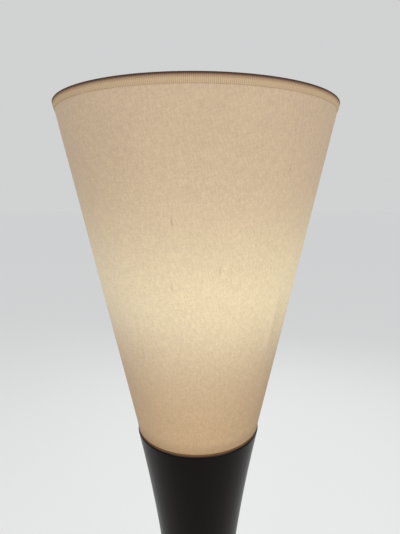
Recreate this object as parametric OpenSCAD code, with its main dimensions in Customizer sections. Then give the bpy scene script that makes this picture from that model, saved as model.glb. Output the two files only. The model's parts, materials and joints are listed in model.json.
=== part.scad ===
// Torchiere floor lamp: an hourglass body of two flared shells under an inverted cone shade.
// Millimetres, +Z up, origin on the floor under the lamp's axis, front towards -Y.

/* [Body] */
// Height of the body, from the floor to its rim
body_h = 1168; // [1100:1:1300]
// Height of the waist, where the body is narrowest
waist_z = 700; // [640:1:740]
// Outer radius at the rim, under the shade
rim_r = 88; // [80:0.5:96]
// Outer radius at the waist
waist_r = 40; // [34:0.5:46]
// Sheet thickness of the two shells
shell_t = 1; // [0.8:0.1:2]
// Radius of the round-over on the rim's outer corner
rim_round = 3.5; // [2:0.1:4]
// Depth of the rim ring, which carries the top plate
rim_depth = 8; // [6:0.5:12]
// Radial width of the rim ring
rim_width = 10; // [8:0.5:14]
// Height of the visible band of the waist collar
collar_h = 8; // [5:0.5:14]

/* [Base] */
// Thickness of the floor pads
pad_t = 3; // [2:0.5:5]
// Radius of one floor pad
pad_r = 13; // [9:0.5:16]
// Thickness of the base plate
plate_t = 2; // [1.5:0.1:3]
// Height of the cast iron weight
weight_h = 22; // [18:1:34]
// Radius of the cast iron weight
weight_r = 108; // [90:1:125]
// Radius of the cord's way through the bushing
cord_bore_r = 3.75; // [3:0.05:4.2]

/* [Centre pipe] */
// Outer radius of the threaded pipe
pipe_r = 5; // [4.5:0.1:5.5]
// Bore radius of the pipe
pipe_bore_r = 3.5; // [3:0.1:3.8]
// Width of the hex nuts across their flats
nut_af = 17; // [15:0.5:19]
// Height of a hex nut
nut_h = 6; // [5:0.5:7]
// Thickness of a washer
washer_t = 1.6; // [1:0.1:2]

/* [Shade] */
// Outside diameter at the top
shade_top_d = 356; // [320:1:400]
// Outside diameter at the bottom
shade_bottom_d = 174; // [160:1:180]
// Height of the shade
shade_h = 434; // [400:1:470]
// Air gap between the body's rim and the shade
shade_gap = 1.5; // [1:0.1:3]
// Thickness of the fabric
fabric_t = 0.6; // [0.4:0.1:0.8]
// Thickness of the stiff liner behind the fabric
liner_t = 0.5; // [0.4:0.1:0.8]
// Wire diameter of the two rings
ring_wire_d = 3.2; // [2.6:0.1:4]
// Height of the ribbed trim tape at the top
trim_h = 10; // [8:0.5:13]
// Thickness of the trim tape
trim_t = 0.7; // [0.5:0.1:1]
// How far the spider's washer lies under the shade's top
spider_drop = 32; // [25:1:38]

/* [Harp and socket] */
// Height of the harp, from its saddle to the washer's seat
harp_h = 305; // [290:1:315]
// Half the harp's greatest width
harp_half_w = 58; // [46:1:64]
// Direction of the harp's plane, in degrees from +X
harp_turn = -45; // [-60:1:-30]
// Wire radius of the harp
harp_wire_r = 2; // [1.6:0.1:2.4]
// Outer radius of the socket shell
socket_r = 16.5; // [16:0.1:17.5]
// Greatest radius of the bulb
bulb_r = 30; // [28:0.5:33]
// Length of the bulb, from its contact to its crown
bulb_len = 108; // [104:1:112]

/* [Hidden] */
$fn = 96;
ARC_FN = 256;
PIN_FN = 48;
SWEEP_SIDES = 12;
eps = 0.01;

// clearances
seat_gap = 0.3;    // between a seated piece and a piece of another body
fit_gap = 0.15;    // between pieces pushed together
turn_gap = 0.1;    // round a shaft that turns
glue_gap = 0.1;    // between glued layers of the shade

// the body's outline is one arc whose centre lies outside the lamp
arc_rise = body_h - waist_z;
arc_sag = rim_r - waist_r;
arc_r = (arc_rise * arc_rise + arc_sag * arc_sag) / (2 * arc_sag);
arc_x = waist_r + arc_r;
function body_r(z) = arc_x - sqrt(arc_r * arc_r - (z - waist_z) * (z - waist_z));

// base, from the floor up
plate_z = pad_t;
shell_z = plate_z + plate_t;
plate_r = body_r(shell_z);
washer_r = 14;
cup_r = washer_r + 10;
pipe_tail = 1.5;     // how far the pipe stands out of the bottom nut
cup_rise = washer_t + nut_h + pipe_tail + 0.9;
cup_roof_z = plate_z + cup_rise;
weight_z = shell_z;
weight_draft = 3;    // how much narrower the casting is at its top
weight_bore_r = pipe_r + 1;
weight_cup_gap = 1;
pad_ring_r = plate_r - pad_r - 8;
pad_count = 4;
screw_r = 2;
screw_head_r = 4;
screw_head_h = 1.2;
screw_len = 9;
screw_ring_r = 62;
screw_count = 4;
bottom_washer_z = cup_roof_z - washer_t;
bottom_nut_z = bottom_washer_z - nut_h;
pipe_z = bottom_nut_z - pipe_tail;
thread_gap = 0.05;   // between a nut or cap and the pipe, in place of the thread

// cord bushing and the channel behind it
bushing_z = shell_z + 11;
bushing_r = cord_bore_r + 2.25;
bushing_flange_r = bushing_r + 3;
bushing_flange_t = 3.5;
bushing_in = 9;
channel_w = 2 * (bushing_r + 1);
channel_top = bushing_z + 7;
cup_hole_r = 4;
cup_hole_z = plate_z + plate_t + cup_hole_r - 0.5;

// waist
collar_proud = 1.2;
spigot_len = 16;
spigot_t = 2.5;
web_t = 6;
lower_top_z = waist_z - collar_h / 2;
upper_z = waist_z + collar_h / 2;
coupling_r = pipe_r + 2;
coupling_h = 30;

// top plate and what stands on it
top_plate_t = 1.5;
ledge_w = 4;
top_plate_z = body_h - 0.5 - top_plate_t;
top_plate_top = top_plate_z + top_plate_t;
rim_in_r = body_r(body_h) - rim_width;
top_plate_r = rim_in_r + ledge_w - fit_gap;
top_nut_z = top_plate_top + washer_t;
cap_r = washer_r + 7;
cap_h = washer_t + nut_h + 4.4;
cap_t = 0.8;
riser_z = top_plate_top + cap_h;
riser_r = pipe_r + 2.5;

// shade
shade_z = body_h + shade_gap;
shade_top = shade_z + shade_h;
shade_r0 = shade_bottom_d / 2;
shade_r1 = shade_top_d / 2;
shade_slope = (shade_r1 - shade_r0) / shade_h;
function shade_r(z) = shade_r0 + shade_slope * (z - shade_z);
ring_r = ring_wire_d / 2;
layers_t = fabric_t + glue_gap + liner_t;
panel_z = shade_z + trim_t + glue_gap;
panel_top = shade_top - trim_t - glue_gap;
top_ring_z = panel_top - ring_r;
top_ring_r = shade_r(top_ring_z) - trim_t - layers_t - ring_r - 2 * glue_gap;
bottom_ring_z = panel_z + ring_r;
bottom_ring_r = shade_r(bottom_ring_z) - trim_t - layers_t - ring_r - 3 * glue_gap;
trim_low_z = shade_top - trim_h;
behind_liner = trim_t + layers_t + 3 * glue_gap;
hem_h = 7;
washer_seat_z = shade_top - spider_drop;
spider_washer_t = 1.5;
spider_washer_r = 11;
spider_wire_r = 1.5;
spider_count = 3;

// harp
socket_cap_t = 0.8;
socket_cap_r = socket_r + fit_gap + socket_cap_t;
saddle_z = washer_seat_z - harp_h;
saddle_t = 1.5;
saddle_w = 13;
ear_h = 14;
ear_w = 5;
ear_t = 1.5;
ear_x = socket_cap_r + 7.05;
saddle_half = ear_x + 7.5;
saddle_top = saddle_z + saddle_t;
leg_x = ear_x + ear_t + fit_gap + harp_wire_r;
leg_z = saddle_top + seat_gap;
leg_straight = 36;
ferrule_x = ear_x + harp_wire_r + 0.7;
ferrule_in_r = harp_wire_r + 1.9;
ferrule_out_r = ferrule_in_r + 1;
ferrule_h = 12;
ferrule_z = saddle_top + seat_gap;
eye_half = 7;
eye_w = 9;
eye_h = 6;
flange_r = 9;
flange_t = 1.5;
flange_top = washer_seat_z - seat_gap;
eye_top = flange_top - flange_t - turn_gap;
eye_z = eye_top - eye_h;
shank_r = 2.5;
post_r = 3.1;
post_h = 11;
finial_bore_r = post_r + 0.2;
finial_z = washer_seat_z + spider_washer_t + seat_gap;

// socket
riser_h = saddle_z - riser_z;
cap_hub_r = pipe_r + 3;
cap_hub_h = 8;
cap_cone_h = 11;
cap_lip_h = 6;
cap_z = saddle_top;
cap_lip_z = cap_z + cap_hub_h + cap_cone_h;
pipe_top = cap_z + cap_hub_h;
shell_tube_t = 0.6;
shell_tube_z = cap_lip_z;
shell_tube_h = 44;
shell_tube_top = shell_tube_z + shell_tube_h;
sleeve_t = 0.5;
sleeve_r = socket_r - shell_tube_t - fit_gap;
core_r = sleeve_r - sleeve_t - fit_gap;
core_z = cap_lip_z + 1;
core_h = 23;
core_top = core_z + core_h;
spindle_z = cap_lip_z + 12;
spindle_r = 2;
spindle_slot_w = 7;
rotor_r = 5;
rotor_len = 8;
rotor_room = 0.3;
knob_in = socket_cap_r + 4.55;
knob_r = 7;
knob_len = 12;
screw_shell_t = 0.4;
screw_shell_r = core_r - 1.35;
screw_shell_z = core_top;
screw_shell_h = shell_tube_top - 1.5 - screw_shell_z;
contact_t = 0.5;
contact_rise = 1.6;
terminal_r = 2.2;
set_screw_r = 1.5;

// bulb
bulb_z = core_top + contact_rise + contact_t + seat_gap;
bulb_cap_r = screw_shell_r - screw_shell_t - seat_gap;
bulb_tip_h = 1.2;
bulb_insulator_h = 3.8;
bulb_cap_z = bulb_z + bulb_tip_h + bulb_insulator_h;
bulb_cap_h = 21;
glass_z = bulb_cap_z + bulb_cap_h;
globe_z = bulb_z + bulb_len - bulb_r;
neck_r = bulb_cap_r + 0.6;
glass_t = 0.7;

LACQUER = "#2a1a12";
STEEL = "silver";
IRON = "dimgray";
BRASS = "goldenrod";
LINEN = "wheat";
BLACK = "#202020";

// ---------- shared shapes ----------

// A tube or washer standing on z
module ring(z, h, outer, inner, fn = $fn) {
  translate([0, 0, z]) difference() {
    cylinder(h = h, r = outer, $fn = fn);
    translate([0, 0, -1]) cylinder(h = h + 2, r = inner, $fn = fn);
  }
}

// A hex nut on the pipe, standing on z
module hex_nut(z) {
  translate([0, 0, z]) difference() {
    cylinder(h = nut_h, r = nut_af / sqrt(3), $fn = 6);
    translate([0, 0, -1]) cylinder(h = nut_h + 2, r = pipe_r + thread_gap);
  }
}

// The half section of the body's sheet between two heights
module wall_section(z0, z1, t) {
  intersection() {
    difference() {
      translate([arc_x, waist_z]) circle(r = arc_r + t, $fn = ARC_FN);
      translate([arc_x, waist_z]) circle(r = arc_r, $fn = ARC_FN);
    }
    translate([waist_r - t - 5, z0]) square([plate_r + 20, z1 - z0]);
  }
}

// A band of the shade: a cone of thickness t whose outside lies inset behind the shade's surface
module shade_band(z0, z1, inset, t) {
  rotate_extrude() polygon([
    [shade_r(z0) - inset, z0], [shade_r(z1) - inset, z1],
    [shade_r(z1) - inset - t, z1], [shade_r(z0) - inset - t, z0]
  ]);
}

// Turns what follows into the harp's plane
module in_harp_plane() rotate([0, 0, harp_turn]) children();

// A cubic curve between two points with two handles
function bezier(a, b, c, d, t) =
  a * pow(1 - t, 3) + 3 * b * t * pow(1 - t, 2) + 3 * c * t * t * (1 - t) + d * pow(t, 3);
function curve(a, b, c, d, steps, from = 0) = [for (i = [from:steps]) bezier(a, b, c, d, i / steps)];

function unit2(v) = v / norm(v);
function heading(path, i) =
  unit2(path[min(i + 1, len(path) - 1)] - path[max(i - 1, 0)]);

// A round wire along a path of [x, z] points in the XZ plane. The ends are square to start and end.
module wire(path, r, start, end, sides = SWEEP_SIDES) {
  count = len(path);
  rings = [
    for (i = [0:count - 1])
      let (h = i == 0 ? start : i == count - 1 ? end : heading(path, i))
        for (k = [0:sides - 1])
          let (a = 360 * k / sides)
            [path[i][0] - h[1] * r * cos(a), r * sin(a), path[i][1] + h[0] * r * cos(a)]
  ];
  sides_faces = [
    for (i = [0:count - 2]) for (k = [0:sides - 1])
      let (n = (k + 1) % sides)
        [i * sides + k, i * sides + n, (i + 1) * sides + n, (i + 1) * sides + k]
  ];
  polyhedron(
    points = rings,
    faces = concat(
      [[for (k = [sides - 1:-1:0]) k]],
      sides_faces,
      [[for (k = [0:sides - 1]) (count - 1) * sides + k]]
    )
  );
}

// ---------- base ----------

module floor_pads() {
  color(BLACK)
    for (i = [0:pad_count - 1])
      rotate([0, 0, 45 + i * 360 / pad_count])
        translate([pad_ring_r, 0, 0]) cylinder(h = pad_t, r = pad_r);
}

module base_screw_places() {
  for (i = [0:screw_count - 1])
    rotate([0, 0, 45 + i * 360 / screw_count]) translate([screw_ring_r, 0, 0]) children();
}

module base_plate() {
  color(BLACK) difference() {
    rotate_extrude() polygon([
      [pipe_r + turn_gap, cup_roof_z], [cup_r - plate_t, cup_roof_z], [cup_r - plate_t, plate_z],
      [plate_r, plate_z], [plate_r, plate_z + plate_t], [cup_r, plate_z + plate_t],
      [cup_r, cup_roof_z + plate_t], [pipe_r + turn_gap, cup_roof_z + plate_t]
    ]);
    translate([0, cup_r - plate_t - 2, cup_hole_z]) rotate([-90, 0, 0])
      cylinder(h = plate_t + 4, r = cup_hole_r, $fn = PIN_FN);
    base_screw_places() translate([0, 0, plate_z - 1])
      cylinder(h = plate_t + 2, r = screw_r + fit_gap, $fn = PIN_FN);
    base_screw_places() translate([0, 0, plate_z - eps])
      cylinder(h = screw_head_h + fit_gap + eps, r = screw_head_r + fit_gap, $fn = PIN_FN);
  }
}

module base_screws() {
  color(STEEL) base_screw_places() difference() {
    union() {
      translate([0, 0, plate_z]) cylinder(h = screw_head_h, r = screw_head_r, $fn = PIN_FN);
      translate([0, 0, plate_z]) cylinder(h = screw_len, r = screw_r, $fn = PIN_FN);
    }
    for (a = [0, 90]) rotate([0, 0, a]) translate([-2.2, -0.35, plate_z - eps]) cube([4.4, 0.7, 0.8]);
  }
}

module base_weight() {
  color(IRON) difference() {
    translate([0, 0, weight_z]) cylinder(h = weight_h, r1 = weight_r, r2 = weight_r - weight_draft);
    translate([0, 0, weight_z - 1])
      cylinder(h = cup_roof_z + plate_t + weight_cup_gap - weight_z + 1, r = cup_r + weight_cup_gap);
    translate([0, 0, weight_z]) cylinder(h = weight_h + 1, r = weight_bore_r);
    translate([-channel_w / 2, 0, weight_z - 1]) cube([channel_w, plate_r + 5, channel_top - weight_z + 1]);
    base_screw_places() translate([0, 0, weight_z - 1])
      cylinder(h = screw_len - plate_t + 2, r = screw_r + thread_gap, $fn = PIN_FN);
  }
}

module bottom_washer() color(STEEL) ring(bottom_washer_z, washer_t, washer_r, pipe_r + turn_gap);

module bottom_nut() color(STEEL) hex_nut(bottom_nut_z);

module cord_bushing() {
  out_y = body_r(bushing_z - bushing_flange_r) + bushing_flange_t;
  in_y = body_r(bushing_z) - shell_t - bushing_in;
  color(BLACK) difference() {
    union() {
      translate([0, in_y, bushing_z]) rotate([-90, 0, 0]) cylinder(h = out_y - in_y, r = bushing_r);
      difference() {
        translate([0, body_r(bushing_z + bushing_flange_r) - 1, bushing_z]) rotate([-90, 0, 0])
          cylinder(h = out_y - body_r(bushing_z + bushing_flange_r) + 1, r = bushing_flange_r);
        rotate_extrude() difference() {
          translate([0, shell_z]) square([plate_r + 5, 2 * bushing_z]);
          translate([arc_x, waist_z]) circle(r = arc_r - glue_gap, $fn = ARC_FN);
        }
      }
    }
    translate([0, in_y - 1, bushing_z]) rotate([-90, 0, 0])
      cylinder(h = out_y - in_y + 2, r = cord_bore_r);
  }
}

// ---------- body ----------

module lower_body() {
  color(LACQUER) difference() {
    rotate_extrude() wall_section(shell_z, lower_top_z, shell_t);
    translate([0, body_r(bushing_z) - 20, bushing_z]) rotate([-90, 0, 0])
      cylinder(h = 40, r = bushing_r + fit_gap);
  }
}

// The collar: a visible band, a spigot into each shell and a web round the pipe coupling
module waist_collar() {
  spigot_r = waist_r - shell_t - fit_gap;
  inner = spigot_r - spigot_t;
  color(LACQUER) {
    difference() {
      union() {
        translate([0, 0, lower_top_z]) cylinder(h = collar_h, r = waist_r + collar_proud);
        translate([0, 0, lower_top_z - spigot_len])
          cylinder(h = collar_h + 2 * spigot_len, r = spigot_r);
      }
      translate([0, 0, lower_top_z - spigot_len - 1])
        cylinder(h = spigot_len + (collar_h - web_t) / 2 + 1, r = inner);
      translate([0, 0, waist_z + web_t / 2])
        cylinder(h = spigot_len + (collar_h - web_t) / 2 + 1, r = inner);
      translate([0, 0, waist_z - web_t]) cylinder(h = 2 * web_t, r = coupling_r + turn_gap);
    }
  }
}

// The rim's section: a solid ring with a rounded outer corner and a ledge for the top plate
module rim_section() {
  round_z = body_h - rim_round;
  round_x = arc_x - sqrt(pow(arc_r + rim_round, 2) - pow(round_z - waist_z, 2));
  away = [round_x - arc_x, round_z - waist_z];
  touch = [arc_x, waist_z] + away * arc_r / norm(away);
  difference() {
    translate([rim_in_r, body_h - rim_depth]) square([rim_width + 5, rim_depth]);
    translate([arc_x, waist_z]) circle(r = arc_r, $fn = ARC_FN);
    translate([rim_in_r - 1, top_plate_z]) square([ledge_w + 1, rim_depth]);
    difference() {
      polygon([
        [round_x, round_z], [round_x, body_h + 1], [round_x + 9, body_h + 1], touch + [3, 0], touch
      ]);
      translate([round_x, round_z]) circle(r = rim_round);
    }
  }
}

module upper_body() {
  color(LACQUER) rotate_extrude() union() {
    wall_section(upper_z, body_h - rim_depth, shell_t);
    rim_section();
  }
}

module top_plate() color(LACQUER) ring(top_plate_z, top_plate_t, top_plate_r, pipe_r + turn_gap);

module top_washer() color(STEEL) ring(top_plate_top, washer_t, washer_r, pipe_r + turn_gap);

module top_nut() color(STEEL) hex_nut(top_nut_z);

// ---------- centre pipe and riser ----------

module lower_pipe() color(STEEL) ring(pipe_z, waist_z - pipe_z, pipe_r, pipe_bore_r);

module pipe_coupling()
  color(STEEL) ring(waist_z - coupling_h / 2, coupling_h, coupling_r, pipe_r + thread_gap);

module upper_pipe() color(STEEL) ring(waist_z, pipe_top - waist_z, pipe_r, pipe_bore_r);

module riser_cap() {
  top = riser_z - top_plate_top;
  shoulder = riser_r + 3;
  color(BRASS) rotate_extrude() translate([0, top_plate_top]) polygon([
    [cap_r, 0], [cap_r, 2], [cap_r - 3, 5], [shoulder, top - 1.5], [shoulder - 1, top],
    [pipe_r + turn_gap, top], [pipe_r + turn_gap, top - cap_t],
    [shoulder - 1.5, top - cap_t - 0.3], [cap_r - 4.2, 4.6], [cap_r - cap_t, 1.6], [cap_r - cap_t, 0]
  ]);
}

module riser_tube() color(BRASS) ring(riser_z, riser_h, riser_r, pipe_r + turn_gap);

// ---------- socket ----------

module harp_saddle() {
  color(STEEL) in_harp_plane() {
    difference() {
      translate([-saddle_half, -saddle_w / 2, saddle_z]) cube([2 * saddle_half, saddle_w, saddle_t]);
      translate([0, 0, saddle_z - 1]) cylinder(h = saddle_t + 2, r = pipe_r + turn_gap, $fn = PIN_FN);
    }
    for (side = [0, 180]) rotate([0, 0, side])
      translate([ear_x, -ear_w / 2, saddle_top]) cube([ear_t, ear_w, ear_h]);
  }
}

module socket_cap() {
  color(BRASS) difference() {
    rotate_extrude() translate([0, cap_z]) polygon([
      [pipe_r + thread_gap, 0], [cap_hub_r, 0], [cap_hub_r, cap_hub_h],
      [cap_hub_r + 3, cap_hub_h + 2], [socket_cap_r - 1, cap_hub_h + cap_cone_h - 3],
      [socket_cap_r, cap_hub_h + cap_cone_h], [socket_cap_r, cap_hub_h + cap_cone_h + cap_lip_h],
      [socket_cap_r - socket_cap_t, cap_hub_h + cap_cone_h + cap_lip_h],
      [socket_cap_r - socket_cap_t, cap_hub_h + cap_cone_h],
      [socket_cap_r - 1 - socket_cap_t, cap_hub_h + cap_cone_h - 2.4],
      [cap_hub_r + 2.4, cap_hub_h + 3], [pipe_r + thread_gap, cap_hub_h + 2]
    ]);
    set_screw_place(cap_hub_r + 1, set_screw_r + thread_gap);
  }
}

// The set screw's place in the cap's hub, on the side away from the knob
module set_screw_place(reach, r)
  in_harp_plane() rotate([0, 0, -90]) translate([pipe_r + turn_gap, 0, cap_z + cap_hub_h / 2])
    rotate([0, 90, 0]) cylinder(h = reach - pipe_r, r = r, $fn = PIN_FN);

module socket_set_screw() color(STEEL) set_screw_place(cap_hub_r - 0.4, set_screw_r);

// The knob's direction: square to the harp
module at_spindle()
  in_harp_plane() translate([0, 0, spindle_z]) rotate([-90, 0, 0]) children();

// A wall of the socket with its slot for the spindle
module slotted_tube(z, h, outer, inner) {
  difference() {
    ring(z, h, outer, inner);
    in_harp_plane() translate([-spindle_slot_w / 2, 0, z - 1])
      cube([spindle_slot_w, outer + 5, spindle_z + spindle_slot_w / 2 - z + 1]);
  }
}

module socket_shell()
  color(BRASS) slotted_tube(shell_tube_z, shell_tube_h, socket_r, socket_r - shell_tube_t);

module socket_sleeve()
  color("saddlebrown")
    slotted_tube(core_z, shell_tube_h - 2, sleeve_r, sleeve_r - sleeve_t);

module socket_core() {
  color(BLACK) difference() {
    translate([0, 0, core_z]) cylinder(h = core_h, r = core_r);
    // room for the rotor, open below, and the spindle's bore
    at_spindle() translate([0, 0, -rotor_len / 2 - rotor_room])
      cylinder(h = rotor_len + 2 * rotor_room, r = rotor_r + rotor_room);
    in_harp_plane() translate([-rotor_r - rotor_room, -rotor_len / 2 - rotor_room, core_z - 1])
      cube([2 * (rotor_r + rotor_room), rotor_len + 2 * rotor_room, spindle_z - core_z + 1]);
    at_spindle() cylinder(h = core_r + 5, r = spindle_r + turn_gap, $fn = PIN_FN);
    // seats for the terminal screws
    terminal_places() translate([0, 0, -1]) cylinder(h = 8, r = terminal_r + fit_gap, $fn = PIN_FN);
  }
}

module terminal_places()
  in_harp_plane() for (side = [0, 180]) rotate([0, 0, side])
    translate([core_r - 3.5, 0, core_z + 8]) rotate([0, 90, 0]) children();

module terminal_screws() {
  color(BRASS) terminal_places() difference() {
    cylinder(h = 3, r = terminal_r, $fn = PIN_FN);
    translate([-terminal_r, -0.3, 2.4]) cube([2 * terminal_r, 0.6, 1]);
  }
}

module screw_shell() {
  color(BRASS) difference() {
    translate([0, 0, screw_shell_z]) cylinder(h = screw_shell_h, r = screw_shell_r);
    translate([0, 0, screw_shell_z + screw_shell_t])
      cylinder(h = screw_shell_h, r = screw_shell_r - screw_shell_t);
    translate([0, 0, screw_shell_z - 1]) cylinder(h = 3, r = 8);
  }
}

// A sprung tongue: a foot on the core, a step up and a flat pad under the bulb
module centre_contact() {
  color(BRASS) in_harp_plane() translate([0, 2.5, core_top]) rotate([90, 0, 0]) linear_extrude(5)
    polygon([
      [-7, 0], [-3.5, 0], [-1.5, contact_rise], [6, contact_rise],
      [6, contact_rise + contact_t], [-1.8, contact_rise + contact_t], [-3.8, contact_t], [-7, contact_t]
    ]);
}

module switch_spindle()
  color(BRASS) at_spindle() translate([0, 0, rotor_len / 2])
    cylinder(h = knob_in + knob_len - 4 - rotor_len / 2, r = spindle_r, $fn = PIN_FN);

module switch_rotor() {
  color("white") at_spindle() translate([0, 0, -rotor_len / 2]) difference() {
    cylinder(h = rotor_len, r = rotor_r);
    for (a = [0, 180]) rotate([0, 0, a]) translate([rotor_r - 1.2, -1.5, -1]) cube([3, 3, rotor_len + 2]);
  }
}

// The knob: a flat-sided key with a round hub
module switch_knob() {
  color(BLACK) at_spindle() translate([0, 0, knob_in]) difference() {
    union() {
      cylinder(h = 3, r = knob_r - 2.5);
      translate([0, 0, 3]) intersection() {
        cylinder(h = knob_len - 3, r = knob_r);
        translate([-knob_r, -2.6, 0]) cube([2 * knob_r, 5.2, knob_len]);
      }
    }
    translate([0, 0, -1]) cylinder(h = knob_len - 3, r = spindle_r, $fn = PIN_FN);
  }
}

// ---------- bulb ----------

// The bulb's outline: a neck that swells into a round globe, at radius r from the axis
flare_angle = 40;
function globe_point(a, r) = [r * cos(a), globe_z + r * sin(a)];
function glass_outline(inset) =
  let (
    r = bulb_r - inset,
    join = globe_point(-flare_angle, r),
    foot = [neck_r - inset, glass_z]
  )
    concat(
      curve(
        foot, foot + [0, 17], join - 15 * [sin(flare_angle), cos(flare_angle)], join, 14
      ),
      [for (i = [1:26]) globe_point(-flare_angle + (90 + flare_angle) * i / 26, r)]
    );

module bulb_glass() {
  color("ivory") rotate_extrude() difference() {
    polygon(concat(glass_outline(0), [[0, glass_z]]));
    polygon(concat(
      [[0, glass_z - 1], [neck_r - glass_t, glass_z - 1]], glass_outline(glass_t)
    ));
  }
}

module bulb_cap() {
  color(STEEL) difference() {
    union() {
      translate([0, 0, bulb_cap_z]) cylinder(h = 3, r1 = bulb_cap_r - 3, r2 = bulb_cap_r);
      translate([0, 0, bulb_cap_z + 3]) cylinder(h = bulb_cap_h - 3, r = bulb_cap_r);
    }
    translate([0, 0, bulb_cap_z - 1]) cylinder(h = 3, r = bulb_cap_r - 4);
    translate([0, 0, bulb_cap_z + 2 - eps]) cylinder(h = bulb_cap_h, r = bulb_cap_r - 3.4);
  }
}

module bulb_insulator() {
  color(BLACK) translate([0, 0, bulb_z + bulb_tip_h])
    cylinder(h = bulb_insulator_h, r1 = 5.5, r2 = bulb_cap_r - 3);
}

module bulb_tip() color(STEEL) translate([0, 0, bulb_z]) cylinder(h = bulb_tip_h, r1 = 3.6, r2 = 4.8);

// The glass stem inside the bulb, on the insulator
module bulb_stem() {
  foot_z = bulb_cap_z;
  color("lightcyan") rotate_extrude() polygon([
    [0, foot_z], [6, foot_z], [6, foot_z + 12], [3, foot_z + 20], [2, globe_z - 14], [0, globe_z - 14]
  ]);
}

// Two lead wires and the coil between them
module bulb_filament() {
  color("gray") in_harp_plane() {
    for (side = [-1, 1])
      translate([side * 1.1, 0, globe_z - 13.7]) rotate([0, side * 40, 0])
        cylinder(h = 17, r = 0.4, $fn = 16);
    translate([-13, 0, globe_z - 1]) rotate([0, 90, 0]) cylinder(h = 26, r = 0.9, $fn = 16);
  }
}

// ---------- harp ----------

// One side of the harp, from its eye down to its foot
function harp_path() =
  let (
    top_z = eye_z + eye_h / 2,
    wide_z = saddle_z + 0.46 * harp_h,
    top = [eye_half, top_z],
    wide = [harp_half_w, wide_z],
    knee = [leg_x, leg_z + leg_straight],
    foot = [leg_x, leg_z]
  )
    concat(
      curve(top, top + [harp_half_w * 0.62, 0], wide + [0, 0.36 * harp_h], wide, 18),
      curve(wide, wide - [0, 0.19 * harp_h], knee + [0, 0.15 * harp_h], knee, 14, 1),
      [foot]
    );

module harp_bow() {
  color(BRASS) in_harp_plane() for (side = [0, 180])
    rotate([0, 0, side]) wire(harp_path(), harp_wire_r, [1, 0], [0, -1]);
}

module harp_eye() {
  color(BRASS) in_harp_plane() difference() {
    translate([-eye_half, -eye_w / 2, eye_z]) cube([2 * eye_half, eye_w, eye_h]);
    translate([0, 0, eye_z - 1]) cylinder(h = eye_h + 2, r = shank_r + turn_gap, $fn = PIN_FN);
  }
}

// The swivelling stud: a riveted shank, a seat for the washer and a threaded post
module harp_stud() {
  color(BRASS) {
    translate([0, 0, eye_z - turn_gap - 1.5]) cylinder(h = 1.5, r = 4, $fn = PIN_FN);
    translate([0, 0, eye_z - turn_gap]) cylinder(h = eye_h + 2 * turn_gap, r = shank_r, $fn = PIN_FN);
    translate([0, 0, eye_top + turn_gap]) cylinder(h = flange_t, r = flange_r);
    translate([0, 0, flange_top]) cylinder(h = post_h, r = post_r, $fn = PIN_FN);
  }
}

module ferrule(side) {
  color(BRASS) in_harp_plane() rotate([0, 0, side]) translate([ferrule_x, 0, 0])
    ring(ferrule_z, ferrule_h, ferrule_out_r, ferrule_in_r, PIN_FN);
}

// ---------- shade ----------

module shade_fabric() color(LINEN) shade_band(panel_z, panel_top, trim_t + glue_gap, fabric_t);

module shade_liner()
  color("white")
    shade_band(panel_z, panel_top, trim_t + 2 * glue_gap + fabric_t, liner_t);

module shade_top_ring()
  color(STEEL) rotate_extrude() translate([top_ring_r, top_ring_z]) circle(r = ring_r, $fn = PIN_FN);

module shade_bottom_ring()
  color(STEEL) rotate_extrude() translate([bottom_ring_r, bottom_ring_z]) circle(r = ring_r, $fn = PIN_FN);

// Turns what follows to each of the spider's arms
module at_spider_arms()
  for (i = [0:spider_count - 1]) rotate([0, 0, 90 + i * 360 / spider_count]) children();

// The ribbed tape: over the top edge, down the outside and in under the ring, slit at each arm
module shade_top_trim() {
  ring_in = top_ring_r - ring_r - glue_gap;
  lip = panel_top - ring_wire_d - 0.4;
  low_r = shade_r(trim_low_z);
  slit_w = 2 * spider_wire_r + 0.6;
  color(LINEN) difference() {
    rotate_extrude() polygon([
      [low_r, trim_low_z], [shade_r(shade_top), shade_top],
      [ring_in - trim_t, shade_top], [ring_in - trim_t, lip],
      [low_r - behind_liner - trim_t, trim_low_z], [low_r - behind_liner, trim_low_z],
      [ring_in, lip], [ring_in, panel_top + glue_gap],
      [shade_r(panel_top) - trim_t, panel_top + glue_gap], [low_r - trim_t, trim_low_z]
    ]);
    at_spider_arms() translate([ring_in - trim_t - 2, -slit_w / 2, trim_low_z - 1])
      cube([trim_t + 2 + ring_wire_d, slit_w, top_ring_z - trim_low_z + 1]);
  }
}

// The turned hem at the bottom: round the edge and in over the ring
module shade_bottom_hem() {
  ring_in = bottom_ring_r - ring_r - glue_gap;
  high = shade_z + hem_h;
  lip = panel_z + ring_wire_d + 0.4;
  color(LINEN) rotate_extrude() polygon([
    [shade_r0, shade_z], [shade_r(high), high], [shade_r(high) - trim_t, high],
    [shade_r(panel_z) - trim_t, panel_z - glue_gap], [ring_in, panel_z - glue_gap], [ring_in, lip],
    [shade_r(high) - behind_liner, high], [shade_r(high) - behind_liner - trim_t, high],
    [ring_in - trim_t, lip], [ring_in - trim_t, shade_z]
  ]);
}

// One arm's path: level from the washer, then up to the top ring
function spider_path() =
  let (
    z = washer_seat_z + spider_wire_r,
    end = [top_ring_r - ring_r * 0.6, top_ring_z - ring_r - spider_wire_r * 0.5],
    bend = [end[0] - 24, z]
  )
    concat(
      [[spider_washer_r, z], [bend[0] - 14, z]],
      curve([bend[0] - 14, z], bend, bend + [8, 8], end, 8, 1)
    );

module spider_arms() {
  path = spider_path();
  last = len(path) - 1;
  color(STEEL) at_spider_arms() wire(path, spider_wire_r, [1, 0], unit2(path[last] - path[last - 1]));
}

module spider_washer()
  color(STEEL) ring(washer_seat_z, spider_washer_t, spider_washer_r, post_r + 0.3);

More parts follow.
